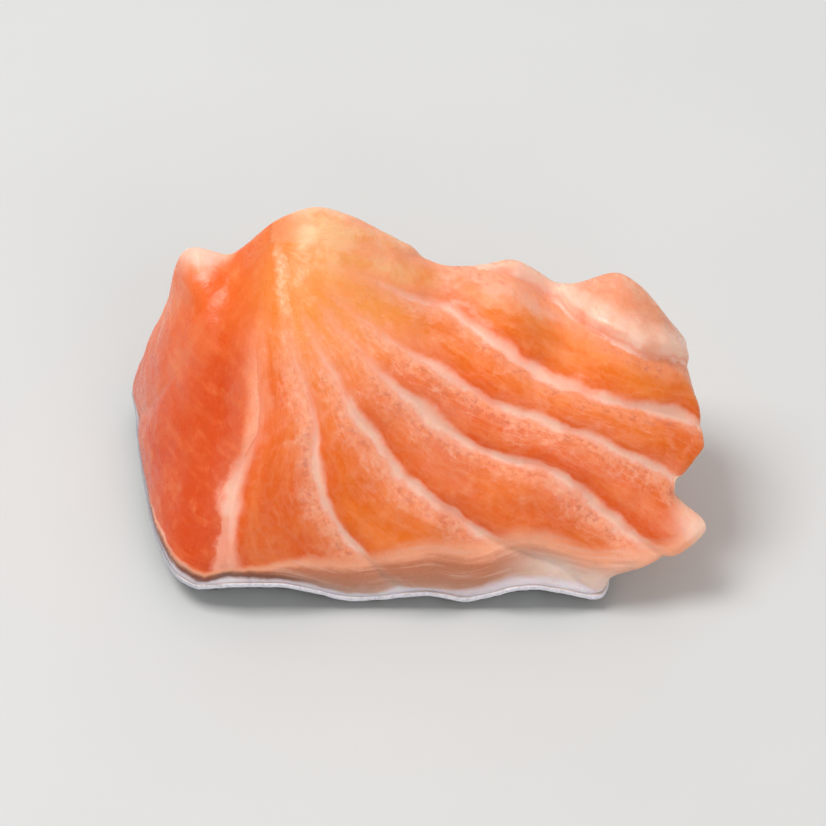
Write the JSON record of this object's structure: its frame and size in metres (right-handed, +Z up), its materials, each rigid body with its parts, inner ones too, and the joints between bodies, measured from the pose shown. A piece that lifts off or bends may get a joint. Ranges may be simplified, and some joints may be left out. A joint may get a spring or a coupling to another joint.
{
  "type": "salmon trimming",
  "caption": "Raw skin-on salmon chunk lying on its silver skin, with a slanting cut face that shows the muscle flakes as a fan.",
  "frame": {"origin": "on the surface that the chunk lies on, under the middle of its bounding box", "axes": "+X to the right along the chunk's length, +Y to the back, away from the cut face with the fan, +Z up from the skin"},
  "size_m": [0.0562, 0.0292, 0.0297],
  "materials": {
    "flesh": "wet, translucent orange flesh with pale pink-white lines of fat between the flakes",
    "skin": "wet silver skin with small scales, dark blue-grey over most of the underside and bright at its cut edge"
  },
  "bodies": {
    "root": {"salmon_chunk": "flesh"}
  },
  "joints": []
}
